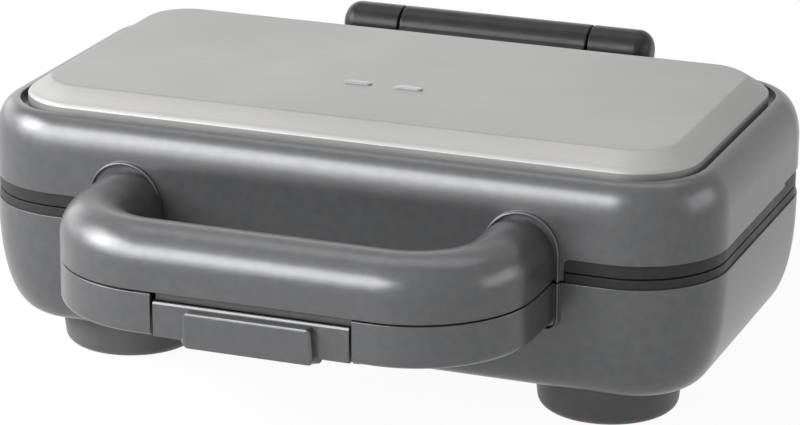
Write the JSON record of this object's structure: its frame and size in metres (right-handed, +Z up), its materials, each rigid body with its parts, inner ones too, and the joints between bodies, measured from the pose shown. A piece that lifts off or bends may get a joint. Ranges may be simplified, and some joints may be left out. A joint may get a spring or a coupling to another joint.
{
  "type": "sandwich toaster",
  "caption": "Countertop sandwich toaster: hinged lid with a flat metal top, looped front handle with a swinging latch clip, round feet and a rear hinge barrel.",
  "frame": {"origin": "on the worktop, under the middle of the whole object's outline", "axes": "+X to the user's right, -Y towards the handle and the user, +Z up"},
  "size_m": [0.28, 0.2608, 0.1049],
  "materials": {
    "charcoal_body": "satin charcoal, faint metallic",
    "dark_plastic": "fine moulded grain, very dark grey",
    "black_plastic": "satin black",
    "black_rubber": "matt",
    "bright_steel": "zinc plated",
    "nonstick_coating": "dark non-stick coating on an aluminium casting, fine grain",
    "element_sheath": "heat-dulled sheath",
    "reflector_sheet": "mill finish",
    "brushed_top": "fine satin brush along the width",
    "fuse_sleeve": "woven sleeve",
    "white_plastic": "plain",
    "lead_insulation": "silicone insulation",
    "grey_lens": "smooth",
    "lamp_glass": "clear, tinted"
  },
  "bodies": {
    "base": {"base_shell": "charcoal_body", "front_feet": "dark_plastic", "rear_feet": "dark_plastic", "foot_pads": "black_rubber", "base_screws": "bright_steel", "lower_cooking_plate": "nonstick_coating", "lower_heating_element": "element_sheath", "lower_reflector": "reflector_sheet", "thermostat": "bright_steel", "thermal_fuse": "fuse_sleeve", "terminal_block": "white_plastic", "cord_gland": "black_rubber", "base_leads": "lead_insulation", "lower_handle": "charcoal_body", "lower_handle_screws": "bright_steel", "hinge_tower_left": "black_plastic", "hinge_tower_right": "black_plastic", "hinge_tower_screws": "bright_steel", "hinge_pin": "bright_steel"},
    "lid": {"lid_shell": "charcoal_body", "lid_top_plate": "brushed_top", "power_lens": "grey_lens", "ready_lens": "grey_lens", "lamp_holder": "white_plastic", "indicator_lamps": "lamp_glass", "upper_cooking_plate": "nonstick_coating", "upper_heating_element": "element_sheath", "upper_reflector": "reflector_sheet", "lid_leads": "lead_insulation", "lid_screws": "bright_steel", "upper_handle": "charcoal_body", "upper_handle_cover": "charcoal_body", "upper_handle_screws": "bright_steel", "lid_hinge_arm": "black_plastic", "lid_hinge_screws": "bright_steel", "latch_pin": "bright_steel"},
    "latch": {"latch_clip": "charcoal_body"}
  },
  "joints": [
    {"name": "lid_hinge", "type": "hinge", "parent": "base", "child": "lid", "pos_m": [0, 0.12195, 0.0904], "axis": [-1, 0, 0], "range_deg": [0, 100]},
    {"name": "latch_pivot", "type": "hinge", "parent": "lid", "child": "latch", "pos_m": [0, -0.11605, 0.064], "axis": [-1, 0, 0], "range_deg": [0, 40]}
  ]
}
